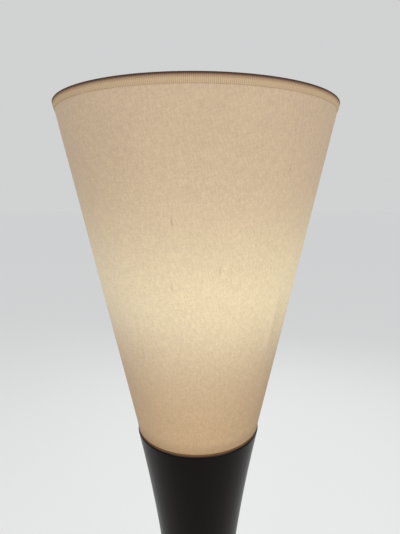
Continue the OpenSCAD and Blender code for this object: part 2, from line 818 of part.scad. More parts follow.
// A turned knob with a blind hole for the harp's post
module finial() {
  base = finial_z;
  ball_r = 8.5;
  ball_z = base + post_h + 8;
  color(BRASS) difference() {
    union() {
      translate([0, 0, base]) cylinder(h = 2.5, r = 8);
      translate([0, 0, base + 2.5]) cylinder(h = 2.5, r1 = 8, r2 = 5.5);
      translate([0, 0, base + 5]) cylinder(h = ball_z - base - 5, r = 5.5);
      translate([0, 0, ball_z]) sphere(r = ball_r);
    }
    translate([0, 0, base - 1]) cylinder(h = post_h + 1.5, r = finial_bore_r, $fn = PIN_FN);
  }
}

floor_pads();
base_plate();
base_screws();
base_weight();
bottom_washer();
bottom_nut();
cord_bushing();
lower_body();
waist_collar();
upper_body();
top_plate();
top_washer();
top_nut();
lower_pipe();
pipe_coupling();
upper_pipe();
riser_cap();
riser_tube();
harp_saddle();
socket_cap();
socket_set_screw();
socket_shell();
socket_sleeve();
socket_core();
screw_shell();
centre_contact();
terminal_screws();
switch_spindle();
switch_rotor();
switch_knob();
bulb_glass();
bulb_cap();
bulb_insulator();
bulb_tip();
bulb_stem();
bulb_filament();
harp_bow();
harp_eye();
harp_stud();
ferrule(180);  // ferrule_left
ferrule(0);  // ferrule_right
shade_fabric();
shade_liner();
shade_top_ring();
shade_bottom_ring();
shade_top_trim();
shade_bottom_hem();
spider_arms();
spider_washer();
finial();
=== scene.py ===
import json
import math

import bmesh
import bpy
from mathutils import Matrix, Vector, noise


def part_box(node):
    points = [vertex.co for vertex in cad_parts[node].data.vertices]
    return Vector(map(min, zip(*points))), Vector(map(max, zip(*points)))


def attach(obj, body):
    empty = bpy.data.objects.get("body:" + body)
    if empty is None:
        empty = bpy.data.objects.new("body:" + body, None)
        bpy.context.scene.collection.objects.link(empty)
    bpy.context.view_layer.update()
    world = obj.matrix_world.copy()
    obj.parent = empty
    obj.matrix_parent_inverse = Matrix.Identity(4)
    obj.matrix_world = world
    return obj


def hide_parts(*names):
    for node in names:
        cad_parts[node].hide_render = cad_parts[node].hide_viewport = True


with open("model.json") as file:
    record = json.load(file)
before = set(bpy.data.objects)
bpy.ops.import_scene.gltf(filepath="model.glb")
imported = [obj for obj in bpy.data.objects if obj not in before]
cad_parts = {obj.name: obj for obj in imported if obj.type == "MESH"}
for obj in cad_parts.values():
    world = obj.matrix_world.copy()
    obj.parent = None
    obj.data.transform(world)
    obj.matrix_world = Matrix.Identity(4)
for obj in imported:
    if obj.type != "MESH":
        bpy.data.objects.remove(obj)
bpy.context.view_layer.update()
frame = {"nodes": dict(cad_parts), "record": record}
mm = 0.001
print("frame loaded:", len(frame["nodes"]), "nodes")

# the shade's outside is a straight cone, read off its two edges
hemLow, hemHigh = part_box("shade_bottom_hem")
tapeLow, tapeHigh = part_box("shade_top_trim")
shadeBottom = hemLow.z
shadeTop = tapeHigh.z
coneSlope = (tapeHigh.x - hemHigh.x) / (tapeHigh.z - hemHigh.z)
coneTilt = math.atan(coneSlope)


def coneRadius(height):
    return hemHigh.x + coneSlope * (height - hemHigh.z)


# ---- camera ----

view = {
    "distance": 0.5691,     # from the lamp's axis
    "eye": 0.3246,          # above the shade's bottom edge
    "pitch": 9.635,         # degrees downwards
    "turn": -1.378,         # degrees, to the right
    "shift": -0.0142,
    "lens": 28.1,
    "film": 36,
}


def addCamera():
    data = bpy.data.cameras.new("camera")
    data.lens = view["lens"]
    data.sensor_width = view["film"]
    data.shift_x = view["shift"]
    data.clip_start = 0.02
    data.clip_end = 200
    camera = bpy.data.objects.new("camera", data)
    camera.location = (0, -view["distance"], shadeBottom + view["eye"])
    camera.rotation_euler = (math.radians(90 - view["pitch"]), 0, math.radians(view["turn"]))
    bpy.context.scene.collection.objects.link(camera)
    bpy.context.scene.camera = camera


addCamera()
print("camera placed")


# ---- shader maths ----

class Link:  # one output socket, usable in plain arithmetic
    def __init__(self, finish, socket):
        self.finish = finish
        self.socket = socket

    def calc(self, operation, first, second=0.0):
        return self.finish.node("ShaderNodeMath", {"operation": operation}, {0: first, 1: second})

    def __add__(self, other):
        return self.calc("ADD", self, other)

    def __radd__(self, other):
        return self.calc("ADD", other, self)

    def __sub__(self, other):
        return self.calc("SUBTRACT", self, other)

    def __rsub__(self, other):
        return self.calc("SUBTRACT", other, self)

    def __mul__(self, other):
        return self.calc("MULTIPLY", self, other)

    def __rmul__(self, other):
        return self.calc("MULTIPLY", other, self)

    def __truediv__(self, other):
        return self.calc("DIVIDE", self, other)

    def __rtruediv__(self, other):
        return self.calc("DIVIDE", other, self)

    def __pow__(self, other):
        return self.calc("POWER", self, other)

    def __neg__(self):
        return self.calc("MULTIPLY", self, -1.0)

    def does(self, operation, other=0.0):  # sine, absolute, minimum and so on
        return self.calc(operation, self, other)


class Finish:  # one material and the nodes behind its shader
    def __init__(self, name):
        self.material = bpy.data.materials.new(name)
        self.material.use_nodes = True
        self.tree = self.material.node_tree
        self.shader = next(n for n in self.tree.nodes if n.type == "BSDF_PRINCIPLED")
        self.place = self.node("ShaderNodeTexCoord", output="Object")

    def node(self, kind, settings=None, sockets=None, output=0):
        made = self.tree.nodes.new(kind)
        for key, value in (settings or {}).items():
            if key == "stops":
                self.setRamp(made.color_ramp, value)
            else:
                setattr(made, key, value)
        for key, value in (sockets or {}).items():
            self.join(made.inputs[key], value)
        return Link(self, made.outputs[output])

    def setRamp(self, ramp, stops):
        while len(ramp.elements) < len(stops):
            ramp.elements.new(0.5)
        for element, (position, colour) in zip(ramp.elements, stops):
            element.position = position
            element.color = colour

    def join(self, socket, value):
        if isinstance(value, Link):
            self.tree.links.new(value.socket, socket)
        else:
            socket.default_value = value

    def surface(self, sockets):
        for key, value in sockets.items():
            self.join(self.shader.inputs[key], value)

    def mix(self, factor, first, second, how="MIX"):
        return self.node(
            "ShaderNodeMix", {"data_type": "RGBA", "blend_type": how}, {0: factor, 6: first, 7: second}, 2
        )

    def vector(self, operation, first, second, output=0):
        return self.node("ShaderNodeVectorMath", {"operation": operation}, {0: first, 1: second}, output)

    def dot(self, first, second):
        return self.vector("DOT_PRODUCT", first, second, 1)

    def joinXyz(self, x, y, z):
        return self.node("ShaderNodeCombineXYZ", None, {0: x, 1: y, 2: z})

    def noise(self, where, scale, detail=2.0, roughness=0.5):
        return self.node(
            "ShaderNodeTexNoise", None,
            {"Vector": where, "Scale": scale, "Detail": detail, "Roughness": roughness}
        )

    def fade(self, value, low, high, start=0.0, end=1.0):  # clamped, with soft ends
        return self.node(
            "ShaderNodeMapRange", {"interpolation_type": "SMOOTHSTEP"},
            {0: value, 1: low, 2: high, 3: start, 4: end}
        )

    def height(self):
        return self.dot(self.place, (0, 0, 1))

    def bump(self, height, distance, strength=1.0):
        lifted = self.node(
            "ShaderNodeBump", None, {"Height": height, "Distance": distance, "Strength": strength}
        )
        self.surface({"Normal": lifted})


def tone(red, green, blue):  # a colour as seen on a screen, 0 to 255, as a linear one
    def linear(value):
        value /= 255
        return value / 12.92 if value <= 0.04045 else ((value + 0.055) / 1.055) ** 2.4
    return (linear(red), linear(green), linear(blue), 1)


def grey(value):
    return (value, value, value, 1)


def dim(colour, share):
    return tuple(part * share for part in colour[:3]) + (1,)


# ---- linen ----

linen = {
    "colour": tone(206, 182, 155),
    "lowColour": tone(207, 176, 138),   # yellower towards the bottom
    # painted light of the bulb through the cloth: a glow and a wider warm halo
    "glow": (0.250, 0.262, 0.158, 1),
    "warmth": (0.060, 0.036, 0.016, 1),
    "glowHeight": 0.207,    # above the shade's bottom edge
    "glowSpread": 0.092,
    "lowSpread": 0.072,
    "thread": 0.95 * mm,
    "fleckLength": 9 * mm,
    "fleckWidth": 1.15 * mm,
    "nap": 1.3 * mm,
    "seam": 100,            # degrees round to the right from the front
    "slubs": [(-10, 0.299), (10, 0.246), (-12, 0.228), (37, 0.352), (-34, 0.142), (150, 0.31), (205, 0.2)],
    "slubLength": 5.5 * mm,
    "slubWidth": 0.75 * mm,
    "legShadow": [48, 0.128, 0.192],  # painted shadow of a harp leg: turn, lowest and highest
}
flatShare = math.sin(coneTilt)      # turn in the flat cut for one turn round the cone
apexHeight = shadeBottom - coneRadius(shadeBottom) / coneSlope
grainTurn = math.radians(linen["seam"] - 180)   # the side opposite the seam, where the grain runs straight up


def flatPlace(turn, height):
    # where a point of the shade lies in the cut cloth, with v along the warp
    spin = (math.radians(turn) - grainTurn + math.pi) % (2 * math.pi) - math.pi
    slant = (height - apexHeight) / math.cos(coneTilt)
    return slant * math.sin(spin * flatShare), slant * math.cos(spin * flatShare)


def turnFromFront(finish, centre):
    # degrees don't matter here: radians round the axis from a centre direction, seam side at the ends
    across = finish.dot(finish.place, (math.cos(centre), math.sin(centre), 0))
    along = finish.dot(finish.place, (math.sin(centre), -math.cos(centre), 0))
    return across.does("ARCTAN2", along)


def weave(finish):
    # the flat cloth's coordinates, then flecks along both threads and the threads themselves
    spin = turnFromFront(finish, grainTurn) * flatShare
    slant = (finish.height() - apexHeight) / math.cos(coneTilt)
    across = slant * spin.does("SINE")
    up = slant * spin.does("COSINE")
    fleck = linen["fleckLength"]
    narrow = linen["fleckWidth"]
    warp = finish.noise(finish.joinXyz(across / narrow, up / fleck, 3.1), 1.0, 2.0, 0.6)
    weft = finish.noise(finish.joinXyz(across / (fleck * 0.8), up / narrow, 7.7), 1.0, 2.0, 0.6)
    step = 2 * math.pi / linen["thread"]
    threads = (across * step).does("SINE") * (up * step).does("SINE")
    cloud = finish.noise(finish.joinXyz(across * 20, up * 14, 1.3), 1.0, 3.0, 0.55)
    nap = finish.noise(finish.place, 1 / linen["nap"], 2.0, 0.6)
    return across, up, warp, weft, threads, cloud, nap


def slubMask(finish, across, up):
    total = 0.0
    for turn, rise in linen["slubs"]:
        u, v = flatPlace(turn, shadeBottom + rise)
        lean = math.atan2(u, v)     # each one stands upright on the shade
        offU = ((across - u) * math.cos(lean) - (up - v) * math.sin(lean)) / linen["slubWidth"]
        offV = ((across - u) * math.sin(lean) + (up - v) * math.cos(lean)) / linen["slubLength"]
        total = (-(offU * offU + offV * offV)).does("EXPONENT") + total
    return total


def makeLinen():
    finish = Finish("linen")
    across, up, warp, weft, threads, cloud, nap = weave(finish)
    slubs = slubMask(finish, across, up)
    dark = finish.fade(warp, 0.32, 0.64) * 0.56 + finish.fade(weft, 0.32, 0.66) * 0.44
    density = dark * 0.19 + (nap - 0.34) * 0.12 + threads * 0.020 + slubs * 0.19 + (cloud - 0.5) * 0.07
    rise = finish.height() - shadeBottom
    # glow of the bulb behind the cloth, soft upwards and downwards
    off = rise - linen["glowHeight"]
    away = off.does("MAXIMUM", 0.0) / linen["glowSpread"] - off.does("MINIMUM", 0.0) / linen["lowSpread"]
    bright = (-(away * away)).does("EXPONENT")
    halo = (-(away * away) * 0.16).does("EXPONENT")
    side = turnFromFront(finish, math.radians(32))
    sideGlow = 0.82 + 0.20 * side.does("COSINE")
    glow = finish.mix(
        1.0, linen["glow"], finish.joinXyz(bright * sideGlow, bright * sideGlow, bright), "MULTIPLY"
    )
    warm = finish.mix(1.0, linen["warmth"], finish.joinXyz(halo, halo, halo), "MULTIPLY")
    light = finish.mix(1.0, glow, warm, "ADD")
    # painted shadow and highlight of a harp leg: a soft edge on the right, darker on one side and lighter on the other
    legTurn, legLow, legHigh = linen["legShadow"]
    legEdge = (turnFromFront(finish, math.radians(legTurn)) * 60).does("TANH")
    legSpan = finish.fade(rise, legLow, legLow + 0.02) * finish.fade(rise, legHigh, legHigh + 0.03, 1.0, 0.0)
    legNear = (-((turnFromFront(finish, math.radians(legTurn)) * 9) ** 2.0)).does("EXPONENT")
    legShadowShare = legEdge * legSpan * legNear * 0.06
    # painted shade along the bottom edge, where the wire and folded cloth stop the bulb's light
    ends = finish.fade(rise, 0.0, 0.021, 1.0, 0.0) * 0.36
    # less light reaches the lower cloth away from the front
    turned = (1.0 - turnFromFront(finish, math.radians(-20)).does("COSINE")).does("MINIMUM", 1.1)
    flank = turned * finish.fade(rise, 0.03, 0.22, 0.19, 0.0)
    keep = 1.0 - density - legShadowShare - flank
    heightColour = finish.mix(finish.fade(rise, 0.02, 0.17), linen["lowColour"], linen["colour"])
    shown = finish.mix(1.0, heightColour, finish.joinXyz(keep, keep, keep * 0.985), "MULTIPLY")
    passed = keep * (1.0 - ends)
    finish.surface({
        # painted shade: the bottom edge turns brown
        "Base Color": finish.mix(ends, shown, dim(tone(150, 112, 76), 0.8)),
        "Emission Color": finish.mix(1.0, light, finish.joinXyz(passed, passed, passed), "MULTIPLY"),
        "Emission Strength": 1.0,
        "Roughness": 0.88,
        "Specular IOR Level": 0.18,
        "Sheen Weight": 0.12,
        "Sheen Roughness": 0.5,
    })
    finish.bump(threads * 0.5 + warp * 0.9 + weft * 0.6 + slubs * 1.2, 0.12 * mm, 0.7)
    return finish.material


def makeTape():
    # grosgrain: fine ribs across, a browner top edge where the wire stops the light
    finish = Finish("linenTape")
    ribTurn = turnFromFront(finish, math.pi) * tape["ribs"]
    rib = (ribTurn.does("COSINE")) * 0.5 + 0.5
    rise = (finish.height() - shadeTop) / tape["height"]
    top = finish.fade(rise, -0.66, -0.24)
    edge = finish.fade(rise, -0.36, -0.12)
    grain = finish.noise(finish.vector("MULTIPLY", finish.place, (260, 260, 900)), 1.0, 2.0, 0.6)
    lowerEdgeShade = finish.fade(rise, -1.0, -0.90, 0.20, 0.0)    # painted shade: the lower edge sits in its own shade
    keep = 0.69 + rib * 0.27 + (grain - 0.5) * 0.16 - lowerEdgeShade
    base = finish.mix(top, tone(198, 172, 139), tone(166, 134, 110))
    base = finish.mix(edge, base, tone(72, 54, 47))
    finish.surface({
        "Base Color": finish.mix(1.0, base, finish.joinXyz(keep, keep, keep), "MULTIPLY"),
        # painted glow of the bulb through the tape, none at the top edge
        "Emission Color": finish.mix(top, (0.055, 0.040, 0.022, 1), (0.0, 0.0, 0.0, 1)),
        "Emission Strength": 1.0,
        "Roughness": 0.85,
        "Specular IOR Level": 0.2,
    })
    finish.bump(rib * 0.6 + grain * 0.4, 0.10 * mm, 0.6)
    return finish.material


# ---- metals, plastics and the rest ----

def makeLacquer(name, paintedRimLight=None):
    # near-black bronze lacquer over spun steel: faint turned rings, soft orange peel, a little dust
    finish = Finish(name)
    peel = finish.noise(finish.place, 420.0, 2.0, 0.5)
    patches = finish.noise(finish.place, 9.0, 3.0, 0.6)
    rings = finish.noise(finish.vector("MULTIPLY", finish.place, (4, 4, 700)), 1.0, 2.0, 0.6)
    dust = finish.fade(finish.noise(finish.place, 900.0, 1.0, 0.5), 0.70, 0.78)
    body = finish.mix(patches, (0.0024, 0.0012, 0.0008, 1), (0.0046, 0.0025, 0.0016, 1))
    finish.surface({
        "Base Color": finish.mix(dust * 0.08, body, (0.10, 0.08, 0.06, 1)),
        "Roughness": 0.22 + patches * 0.10 + rings * 0.05,
        "Specular IOR Level": 0.07,
    })
    if paintedRimLight:
        # painted light: the rounded top of the rim glows brown where the bulb's light leaks out under the shade
        lowest, highest, colour = paintedRimLight
        lift = finish.fade(finish.height(), lowest, highest) ** 2.2
        streak = 0.75 + finish.noise(finish.place, 60.0, 2.0, 0.5) * 0.5
        lit = lift * streak
        finish.surface({
            "Emission Color": finish.mix(1.0, colour, finish.joinXyz(lit, lit, lit), "MULTIPLY"),
            "Emission Strength": 1.0,
        })
    finish.bump(peel * 0.5 + rings * 0.5, 0.03 * mm, 0.35)
    return finish.material


def makeMetal(name, colour, rough, tarnish, spread, stretch=(1, 1, 1), bumpDepth=0.02 * mm):
    finish = Finish(name)
    grain = finish.noise(finish.vector("MULTIPLY", finish.place, stretch), 900.0, 2.0, 0.6)
    blotch = finish.noise(finish.place, 55.0, 4.0, 0.6)
    finish.surface({
        "Base Color": finish.mix(finish.fade(blotch, 0.42, 0.72) * 0.7, colour, tarnish),
        "Metallic": 1.0,
        "Roughness": rough + blotch * spread + grain * 0.06,
    })
    finish.bump(grain, bumpDepth, 0.4)
    return finish.material


def makePlastic(name, colour, rough, grainSize=500.0, depth=0.03 * mm, coat=0.0):
    finish = Finish(name)
    grain = finish.noise(finish.place, grainSize, 2.0, 0.5)
    cloud = finish.noise(finish.place, 40.0, 3.0, 0.5)
    finish.surface({
        "Base Color": finish.mix(cloud * 0.5, colour, dim(colour, 0.72)),
        "Roughness": rough + grain * 0.10,
        "Coat Weight": coat,
    })
    finish.bump(grain, depth, 0.4)
    return finish.material


def makeIron():
    finish = Finish("castIron")
    lumps = finish.noise(finish.place, 240.0, 4.0, 0.65)
    rust = finish.fade(finish.noise(finish.place, 30.0, 4.0, 0.6), 0.58, 0.75)
    finish.surface({
        "Base Color": finish.mix(rust * 0.5, (0.055, 0.052, 0.050, 1), (0.16, 0.07, 0.035, 1)),
        "Metallic": 0.6,
        "Roughness": 0.62 + rust * 0.25,
    })
    finish.bump(lumps, 0.4 * mm, 0.6)
    return finish.material


def makeFibre():
    finish = Finish("pressedFibre")
    strands = finish.noise(finish.vector("MULTIPLY", finish.place, (300, 300, 2400)), 1.0, 3.0, 0.6)
    finish.surface({
        "Base Color": finish.mix(strands, tone(150, 112, 74), tone(108, 76, 48)),
        "Roughness": 0.9,
    })
    finish.bump(strands, 0.08 * mm, 0.6)
    return finish.material


def makeLitGlass():
    # frosted envelope, brightest round the filament
    finish = Finish("frostedGlass")
    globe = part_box("bulb_glass")
    centre = globe[1].z - (globe[1].x - globe[0].x) / 2
    away = (finish.height() - centre) / 0.030
    bright = 0.30 + 0.70 * (-(away * away) * 0.9).does("EXPONENT")
    frost = finish.noise(finish.place, 1400.0, 1.0, 0.5)
    finish.surface({
        "Base Color": (0.90, 0.88, 0.84, 1),
        "Roughness": 0.42 + frost * 0.08,
        "Emission Color": finish.mix(1.0, (1.0, 0.80, 0.52, 1), finish.joinXyz(bright, bright, bright), "MULTIPLY"),
        "Emission Strength": 1.3,
    })
    return finish.material


def makeClearGlass():
    finish = Finish("clearGlass")
    finish.surface({
        "Base Color": (0.95, 0.97, 0.97, 1),
        "Roughness": 0.05 + finish.noise(finish.place, 80.0, 1.0, 0.5) * 0.04,
        "Transmission Weight": 0.9,
        "IOR": 1.5,
    })
    return finish.material


def makeHotWire():
    finish = Finish("hotTungsten")
    heat = finish.noise(finish.place, 300.0, 1.0, 0.5)
    finish.surface({
        "Base Color": (0.35, 0.32, 0.30, 1),
        "Metallic": 0.8,
        "Roughness": 0.5,
        "Emission Color": finish.mix(heat, (1.0, 0.72, 0.36, 1), (1.0, 0.86, 0.60, 1)),
        "Emission Strength": 6.0,
    })
    return finish.material


def makeLiner():
    # the white backing sheet, lit from inside by the bulb
    finish = Finish("styreneLiner")
    rise = finish.height() - shadeBottom
    away = (rise - linen["glowHeight"]) / 0.15
    bright = 0.22 + 0.78 * (-(away * away)).does("EXPONENT")
    haze = finish.noise(finish.place, 60.0, 3.0, 0.5)
    lit = bright * (0.94 + haze * 0.12)
    finish.surface({
        "Base Color": finish.mix(haze * 0.4, tone(236, 226, 206), tone(226, 212, 186)),
        "Roughness": 0.55,
        "Emission Color": finish.mix(1.0, (0.26, 0.18, 0.09, 1), finish.joinXyz(lit, lit, lit), "MULTIPLY"),
        "Emission Strength": 1.0,
    })
    finish.bump(haze, 0.05 * mm, 0.3)
    return finish.material


tape = {
    "height": tapeHigh.z - tapeLow.z,
    "ribs": 600,
    "ribDepth": 0.13 * mm,
    "columnsPerRib": 4,
    "thickness": 0.7 * mm,
    "lapTurn": 3.2,         # degrees of the tape's overlap
    "lapLift": 0.35 * mm,
}
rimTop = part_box("upper_body")[1].z
finishes = {
    "lacquer": makeLacquer("bronzeLacquer"),
    "steel": makeMetal("zincSteel", (0.56, 0.56, 0.55, 1), 0.26, (0.42, 0.42, 0.43, 1), 0.14),
    "black_steel": makePlastic("blackPaint", (0.020, 0.020, 0.022, 1), 0.50, 700.0),
    "iron": makeIron(),
    "brass": makeMetal("satinBrass", (0.80, 0.56, 0.24, 1), 0.22, (0.50, 0.31, 0.12, 1), 0.18, (1, 1, 6)),
    "rubber": makePlastic("padRubber", (0.022, 0.022, 0.022, 1), 0.78, 380.0, 0.08 * mm),
    "black_plastic": makePlastic("blackMoulding", (0.016, 0.014, 0.013, 1), 0.26, 300.0, 0.02 * mm, 0.2),
    "white_plastic": makePlastic("whiteMoulding", tone(222, 216, 200), 0.42, 300.0, 0.02 * mm),
    "fibre": makeFibre(),
    "glass": makeLitGlass(),
    "clear_glass": makeClearGlass(),
    "tungsten": makeHotWire(),
    "linen": makeLinen(),
    "linen_tape": makeTape(),
    "styrene": makeLiner(),
}
# the body's lacquer with painted light on its rim, leaking out under the shade
rimLitLacquer = makeLacquer("rimLitLacquer", (rimTop - 3.2 * mm, rimTop, (0.17, 0.092, 0.042, 1)))
print("finishes made:", len(finishes) + 1)

for entry in frame["record"]["subparts"]:
    mesh = frame["nodes"][entry["node"]].data
    mesh.materials.clear()
    mesh.materials.append(finishes[entry["material_slot"]])
frame["nodes"]["upper_body"].data.materials[0] = rimLitLacquer


# ---- mesh helpers ----

def addPiece(name, points, faces, sharp=38):
    mesh = bpy.data.meshes.new(name)
    mesh.from_pydata([tuple(p) for p in points], [], faces)
    solid = bmesh.new()
    solid.from_mesh(mesh)
    bmesh.ops.remove_doubles(solid, verts=solid.verts, dist=2e-6)
    bmesh.ops.recalc_face_normals(solid, faces=solid.faces)
    solid.to_mesh(mesh)
    solid.free()
    mesh.polygons.foreach_set("use_smooth", [True] * len(mesh.polygons))
    mesh.set_sharp_from_angle(angle=math.radians(sharp))
    piece = bpy.data.objects.new(name, mesh)
    bpy.context.scene.collection.objects.link(piece)
    return piece


def place(piece, body, slotName, *replaced, finish=None):
    piece.data.materials.append(finish or finishes[slotName])
    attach(piece, body)
    if replaced:
        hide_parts(*replaced)
    return piece


def revolve(name, outline, columns, ring=False, ripple=None, sharp=38):
    # outline: (radius, height) points; a ring's outline closes on itself, any other ends on the axis
    rows = len(outline)
    points = []
    for i in range(columns):
        turn = 2 * math.pi * i / columns
        for k, (radius, height) in enumerate(outline):
            reach = radius + (ripple(turn, height, k) if ripple and radius > 1e-6 else 0)
            points.append((reach * math.sin(turn), -reach * math.cos(turn), height))
    faces = []
    for i in range(columns):
        after = (i + 1) % columns
        for k in range(rows if ring else rows - 1):
            up = (k + 1) % rows
            corners = [i * rows + k, after * rows + k, after * rows + up, i * rows + up]
            if outline[k][0] < 1e-6:
                corners.pop(1)
            elif outline[up][0] < 1e-6:
                corners.pop(2)
            faces.append(corners)
    return addPiece(name, points, faces, sharp)


def loft(name, rings, sharp=38):
    # skins a row of rings that have as many points each, and closes both ends
    count = len(rings[0])
    points = [p for ring in rings for p in ring]
    faces = [list(range(count))[::-1], [(len(rings) - 1) * count + k for k in range(count)]]
    for i in range(len(rings) - 1):
        for k in range(count):
            after = (k + 1) % count
            faces.append([i * count + k, i * count + after, (i + 1) * count + after, (i + 1) * count + k])
    return addPiece(name, points, faces, sharp)


def wireRings(path, radius, sides=20, swell=None):
    # rings square to a path, carried along it without twist
    rings = []
    heading = (path[1] - path[0]).normalized()
    side = heading.orthogonal().normalized()
    for i, point in enumerate(path):
        ahead = (path[min(i + 1, len(path) - 1)] - path[max(i - 1, 0)]).normalized()
        side = (side - ahead * side.dot(ahead)).normalized()
        other = ahead.cross(side)
        reach = radius * (swell(i / (len(path) - 1)) if swell else 1)
        rings.append([
            point + (side * math.cos(a) + other * math.sin(a)) * reach
            for a in (2 * math.pi * k / sides for k in range(sides))
        ])
    return rings


def bezier(a, b, c, d, steps, skip=0):
    made = []
    for i in range(skip, steps + 1):
        t = i / steps
        made.append(a * (1 - t) ** 3 + b * 3 * t * (1 - t) ** 2 + c * 3 * t * t * (1 - t) + d * t ** 3)
    return made


def arcPoints(centre, radius, start, end, steps):
    # (radius, height) points along an arc, angles in degrees from straight out
    return [
        (centre[0] + radius * math.cos(math.radians(start + (end - start) * i / steps)),
         centre[1] + radius * math.sin(math.radians(start + (end - start) * i / steps)))
        for i in range(steps + 1)
    ]


def joinPieces(name, pieces):
    # several meshes as one piece
    points, faces = [], []
    for piece in pieces:
        first = len(points)
        points += [tuple(v.co) for v in piece.data.vertices]
        faces += [[first + v for v in face.vertices] for face in piece.data.polygons]
        bpy.data.objects.remove(piece)
    return addPiece(name, points, faces)


# ---- the shade ----

cloth = {
    "inset": 0.8 * mm,      # behind the tape's face
    "thickness": 0.45 * mm,
    "columns": 540,
    "rows": 96,
    "lap": 12 * mm,
    "lapLift": 0.5 * mm,
    "wave": 0.22 * mm,      # how far the glued cloth wanders from a true cone
}


def clothReach(turn, height):
    # the outside radius of the cloth at a turn past the seam, lap included
    lapTurn = cloth["lap"] / coneRadius(height)
    over = (turn - (2 * math.pi - lapTurn * 0.6)) / (lapTurn * 0.6)
    lift = cloth["lapLift"] * max(0.0, min(1.0, over)) ** 0.5
    wander = noise.noise(Vector((math.cos(turn) * 1.7, math.sin(turn) * 1.7, height * 7))) * cloth["wave"]
    ends = min(1.0, (height - shadeBottom) / 0.03, (shadeTop - height) / 0.03)
    return coneRadius(height) - cloth["inset"] + lift + wander * max(0.0, ends)


def buildCloth():
    low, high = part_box("shade_fabric")
    seam = math.radians(linen["seam"])
    outside, inside = [], []
    for i in range(cloth["columns"] + 1):
        for k in range(cloth["rows"] + 1):
            height = low.z + (high.z - low.z) * k / cloth["rows"]
            lapTurn = cloth["lap"] / coneRadius(height)
            turn = (2 * math.pi + lapTurn) * i / cloth["columns"]
            reach = clothReach(turn, height)
            angle = seam + turn
            for side, depth in ((outside, 0), (inside, cloth["thickness"])):
                r = reach - depth
                side.append((r * math.sin(angle), -r * math.cos(angle), height))
    rows = cloth["rows"] + 1
    columns = cloth["columns"] + 1
    shift = len(outside)
    faces = []
    for i in range(columns - 1):
        for k in range(rows - 1):
            a, b = i * rows + k, (i + 1) * rows + k
            faces.append([a, b, b + 1, a + 1])
            faces.append([shift + a, shift + a + 1, shift + b + 1, shift + b])
        for k in (0, rows - 1):
            a, b = i * rows + k, (i + 1) * rows + k
            faces.append([a, shift + a, shift + b, b])
    for i in (0, columns - 1):
        for k in range(rows - 1):
            a = i * rows + k
            faces.append([a, a + 1, shift + a + 1, shift + a])
    return place(addPiece("shadeCloth", outside + inside, faces, 50), "shade", "linen", "shade_fabric")


def buildTape():
    # up the outside, over the wire in a soft fold, and in under it
    ringLow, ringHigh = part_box("shade_top_ring")
    wireR = (ringHigh.z - ringLow.z) / 2
    centre = (ringHigh.x - wireR, ringHigh.z - wireR)
    t = tape["thickness"]
    low = tapeLow.z
    inner = centre[0] - wireR - 0.1 * mm
    outline = [
        (coneRadius(low) - 0.55 * mm, low + 0.1 * mm), (coneRadius(low) - 0.35 * mm, low + 0.7 * mm),
        (coneRadius(low) + 0.05 * mm, low + 1.8 * mm)
    ]
    outline += [(coneRadius(low + rise), low + rise) for rise in (3.2 * mm, 4.6 * mm, 6.2 * mm, 7.6 * mm)]
    fold = 1.3 * mm
    outline += arcPoints((coneRadius(shadeTop) - fold - 0.25 * mm, shadeTop - fold), fold, 10, 90, 5)
    outline += arcPoints((inner - t + fold * 0.9, shadeTop - fold * 0.9), fold * 0.9, 100, 180, 4)
    outline += [(inner - t, centre[1] - wireR * 0.4), (inner - t * 0.4, low + 5.2 * mm)]
    behind = coneRadius(low) - 2.45 * mm
    outline += [(behind - t, low + 1.2 * mm), (behind - t * 0.5, low), (behind, low + 1.0 * mm)]
    outline += [(inner + 0.9 * mm, low + 6.0 * mm), (inner, centre[1]), (inner + 0.2 * mm, centre[1] + wireR)]
    outline += [(coneRadius(shadeTop) - t - 0.4 * mm, shadeTop - t - 0.1 * mm), (coneRadius(low + 1 * mm) - t, low + 1 * mm)]
    outside = 12
    seam = math.radians(linen["seam"] + 6)
    lap = math.radians(tape["lapTurn"])

    def ribbed(turn, height, k):
        wave = math.cos(turn * tape["ribs"]) * 0.5 + 0.5
        past = (turn - seam) % (2 * math.pi)
        lift = tape["lapLift"] if past < lap else 0
        if k >= outside:
            return 0
        return (wave - 1) * tape["ribDepth"] + lift

    columns = tape["ribs"] * tape["columnsPerRib"]
    made = revolve("shadeTape", outline, columns, ring=True, ripple=ribbed, sharp=60)
    return place(made, "shade", "linen_tape", "shade_top_trim")


def buildHem():
    # the cloth turned in round the bottom wire
    ringLow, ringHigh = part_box("shade_bottom_ring")
    wireR = (ringHigh.z - ringLow.z) / 2
    inner = ringHigh.x - 2 * wireR
    top = hemHigh.z
    outline = [
        (coneRadius(top) - 0.75 * mm, top),
        (coneRadius(top - 2 * mm) - 0.62 * mm, top - 2 * mm),
        (coneRadius(shadeBottom + 2.2 * mm) - 0.45 * mm, shadeBottom + 2.2 * mm),
    ]
    outline += arcPoints((coneRadius(shadeBottom) - 1.25 * mm, shadeBottom + 1.1 * mm), 1.0 * mm, 0, -90, 4)
    outline += arcPoints((inner + 0.3 * mm, shadeBottom + 1.2 * mm), 1.1 * mm, -100, -180, 4)
    outline += [
        (inner - 0.78 * mm, ringHigh.z - 0.4 * mm), (inner - 0.3 * mm, ringHigh.z + 0.7 * mm),
        (coneRadius(top) - 2.9 * mm, top), (coneRadius(top) - 2.35 * mm, top - 0.3 * mm),
        (inner + 0.5 * mm, ringHigh.z + 0.2 * mm), (inner - 0.12 * mm, ringHigh.z - 1.2 * mm),
        (inner - 0.1 * mm, shadeBottom + 0.8 * mm), (coneRadius(shadeBottom) - 0.95 * mm, shadeBottom + 0.75 * mm),
    ]
    made = revolve("shadeHem", outline, 360, ring=True, sharp=60)
    return place(made, "shade", "linen", "shade_bottom_hem")


spider = {
    "wireRadius": 1.5 * mm,
    "arms": 3,
    "firstTurn": 180,       # straight back
    "bendReach": 24 * mm,
}


